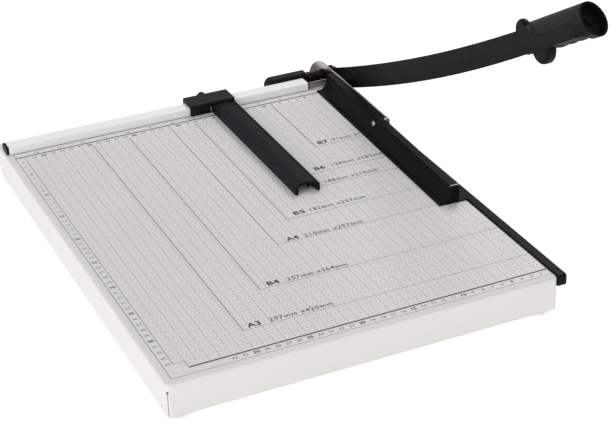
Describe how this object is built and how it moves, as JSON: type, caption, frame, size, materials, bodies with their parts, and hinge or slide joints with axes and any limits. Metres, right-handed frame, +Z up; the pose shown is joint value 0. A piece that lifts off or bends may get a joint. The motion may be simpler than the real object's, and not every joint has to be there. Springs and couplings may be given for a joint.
{
  "type": "guillotine paper cutter",
  "caption": "Rotary-arm paper cutter: ruled board on a pressed tray, back fence with sliding stop, hinged press bar and long curved blade arm shown raised.",
  "frame": {"origin": "on the table, under the middle of the whole outline with the arm raised", "axes": "+Z up; +Y from the front wall towards the fence; +X towards the blade side"},
  "size_m": [0.411, 0.545, 0.2953],
  "materials": {
    "tray_paint": "satin warm-white powder coat",
    "bare_steel": "plain rolled sheet",
    "rubber": "matte",
    "zinc": "zinc plated",
    "knife_black": "black oxide, ground cutting edge",
    "fence_paint": "satin pale bluish-white coat",
    "black_plastic": "fine matte mould texture",
    "nickel": "nickel plated",
    "spring_steel": "oiled spring steel",
    "bar_black": "satin extrusion",
    "blade_black": "black oxide with a ground bevel",
    "handle_black": "fine matte mould texture"
  },
  "bodies": {
    "base": {"base_tray": "tray_paint", "pivot_pan": "knife_black", "rib_front": "bare_steel", "rib_rear": "bare_steel", "foot_front_left": "rubber", "foot_front_right": "rubber", "foot_rear_left": "rubber", "foot_rear_right": "rubber", "foot_screws": "zinc", "foot_nuts": "zinc", "bed_knife": "knife_black", "bed_knife_screws": "zinc", "fence_rail": "fence_paint", "fence_cap_left": "black_plastic", "fence_cap_right": "black_plastic", "fence_screws": "zinc", "corner_angle": "nickel", "corner_rivets": "zinc", "pivot_block": "black_plastic", "pivot_block_screws": "zinc", "pivot_bolt": "zinc", "lock_nut": "zinc", "pivot_spring": "spring_steel", "pivot_washers": "zinc", "pivot_spacer": "zinc"},
    "arm": {"blade_arm": "blade_black", "handle": "handle_black", "handle_screw": "zinc"},
    "press": {"press_lever": "nickel", "press_bar": "bar_black", "press_bar_rivets": "zinc", "press_bar_clip": "nickel"},
    "stop": {"stop_head": "black_plastic", "stop_arm": "black_plastic", "stop_pin": "zinc"},
    "knob": {"stop_knob": "black_plastic"}
  },
  "joints": [
    {"name": "arm_pivot", "type": "hinge", "parent": "base", "child": "arm", "pos_m": [0.1828, 0.2378, 0.0428], "axis": [-1, 0, 0], "range_deg": [-25.5, 45]},
    {"name": "press_pivot", "type": "hinge", "parent": "base", "child": "press", "pos_m": [0.1724, 0.2378, 0.0428], "axis": [-1, 0, 0], "range_deg": [0, 14]},
    {"name": "stop_slide", "type": "slide", "parent": "base", "child": "stop", "axis": [1, 0, 0], "range_m": [-0.202, 0.046]},
    {"name": "knob_turn", "type": "hinge", "parent": "stop", "child": "knob", "pos_m": [0.0262, 0.2398, 0.0443], "axis": [0, 1, 0], "range_deg": [0, 300]}
  ]
}
